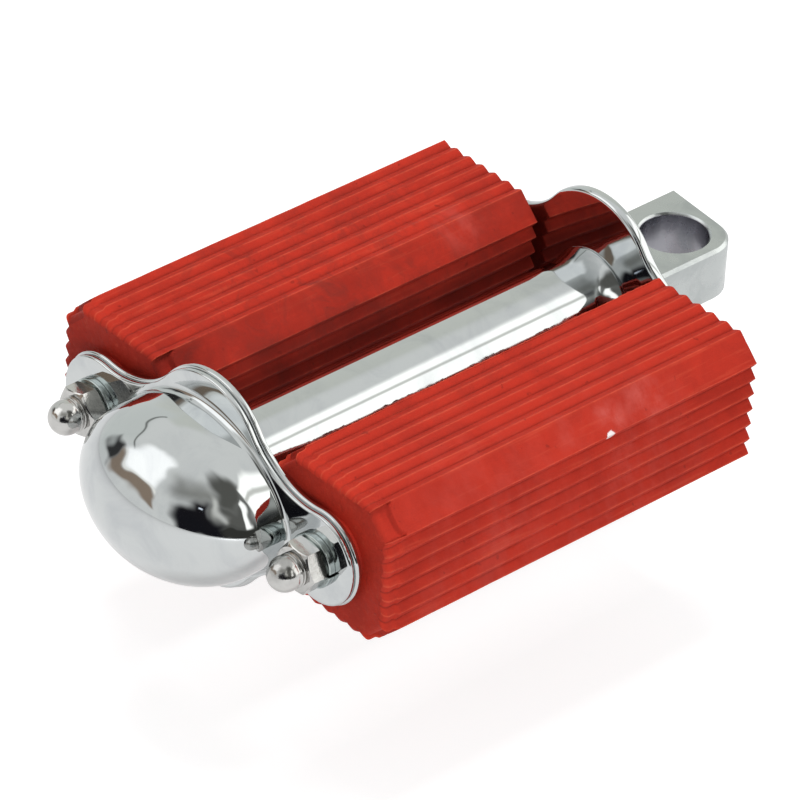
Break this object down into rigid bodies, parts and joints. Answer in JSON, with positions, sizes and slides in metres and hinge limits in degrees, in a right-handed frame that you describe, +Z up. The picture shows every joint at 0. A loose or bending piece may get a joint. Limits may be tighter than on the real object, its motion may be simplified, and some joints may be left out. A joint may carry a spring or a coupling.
{
  "type": "bicycle pedal",
  "caption": "Rubber-block pedal with chromed end plates, a barrel and an oblong dome cap, turning freely on a spindle that ends in a flat lug with a drilled eye.",
  "frame": {"origin": "centre of the lug's eye, halfway through its thickness", "axes": "+Z up along the eye's axis, +Y along the spindle from the dome cap towards the lug, +X across the pedal towards the rubber beside the lug's rounded corner"},
  "size_m": [0.1016, 0.1669, 0.0504],
  "materials": {
    "red_rubber": "matt moulded red rubber",
    "chrome_plate": "bright chrome plate on steel",
    "nickel_steel": "nickelled turned steel",
    "zinc_steel": "dull zinc plate",
    "satin_steel": "satin plated forging, machined eye",
    "bronze": "oiled bearing bronze"
  },
  "bodies": {
    "spindle": {"spindle": "satin_steel", "inboard_thrust_washer": "zinc_steel", "outboard_thrust_washer": "zinc_steel", "tab_washer": "zinc_steel", "spindle_nut": "zinc_steel"},
    "pedal": {"barrel": "chrome_plate", "inboard_bush": "bronze", "outboard_bush": "bronze", "inboard_plate": "chrome_plate", "outboard_plate": "chrome_plate", "dome_cap": "chrome_plate", "left_rubber": "red_rubber", "right_rubber": "red_rubber", "left_tie_bolt": "zinc_steel", "right_tie_bolt": "zinc_steel", "left_bolt_washer": "zinc_steel", "right_bolt_washer": "zinc_steel", "left_spring_washer": "zinc_steel", "right_spring_washer": "zinc_steel", "left_acorn_nut": "nickel_steel", "right_acorn_nut": "nickel_steel"}
  },
  "joints": [
    {"name": "pedal_spin", "type": "hinge", "parent": "spindle", "child": "pedal", "pos_m": [0, -0.075, 0], "axis": [0, 1, 0], "continuous": true}
  ]
}
